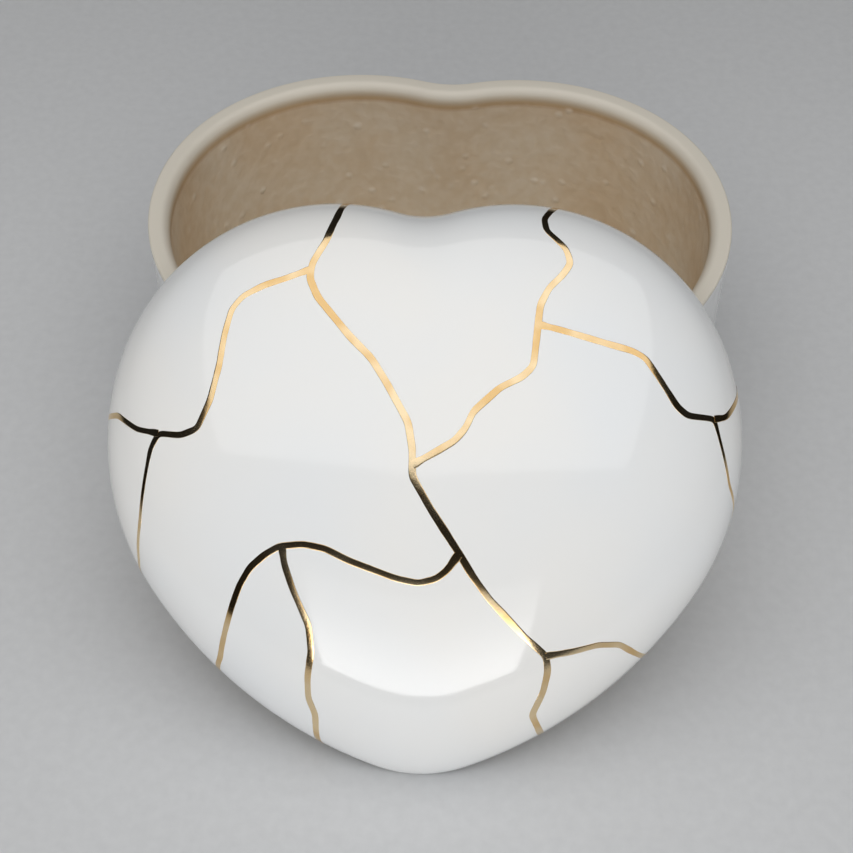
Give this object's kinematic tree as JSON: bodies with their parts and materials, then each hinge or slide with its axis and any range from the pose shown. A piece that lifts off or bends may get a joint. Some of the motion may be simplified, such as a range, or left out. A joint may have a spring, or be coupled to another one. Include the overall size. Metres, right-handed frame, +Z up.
{
  "type": "heart-shaped trinket box",
  "caption": "Heart-shaped ceramic trinket box with a loose domed lid, decorated with gold seams and leaning on the open base.",
  "frame": {"origin": "centre of the heart's foot, on the surface the box stands on", "axes": "+Z up, +X to the right, +Y from the heart's point towards its notch"},
  "size_m": [0.1513, 0.1866, 0.0974],
  "materials": {
    "bare_ceramic": "unglazed inside and on the rim, white glaze outside",
    "white_glaze": "gloss",
    "gold_lustre": "polished"
  },
  "bodies": {
    "base": {"base_shell": "bare_ceramic"},
    "lid": {"lid_shell": "white_glaze", "gold_spine": "gold_lustre", "gold_left_loop": "gold_lustre", "gold_left_tip": "gold_lustre", "gold_right_lobe": "gold_lustre", "gold_right_reach": "gold_lustre", "gold_right_tip": "gold_lustre", "gold_low_left": "gold_lustre", "gold_low_left_branch": "gold_lustre", "gold_low_right_branch": "gold_lustre"}
  },
  "joints": [
    {"name": "lid_lift", "type": "slide", "parent": "base", "child": "lid", "axis": [0, 0, 1], "range_m": [0, 0.12]}
  ]
}
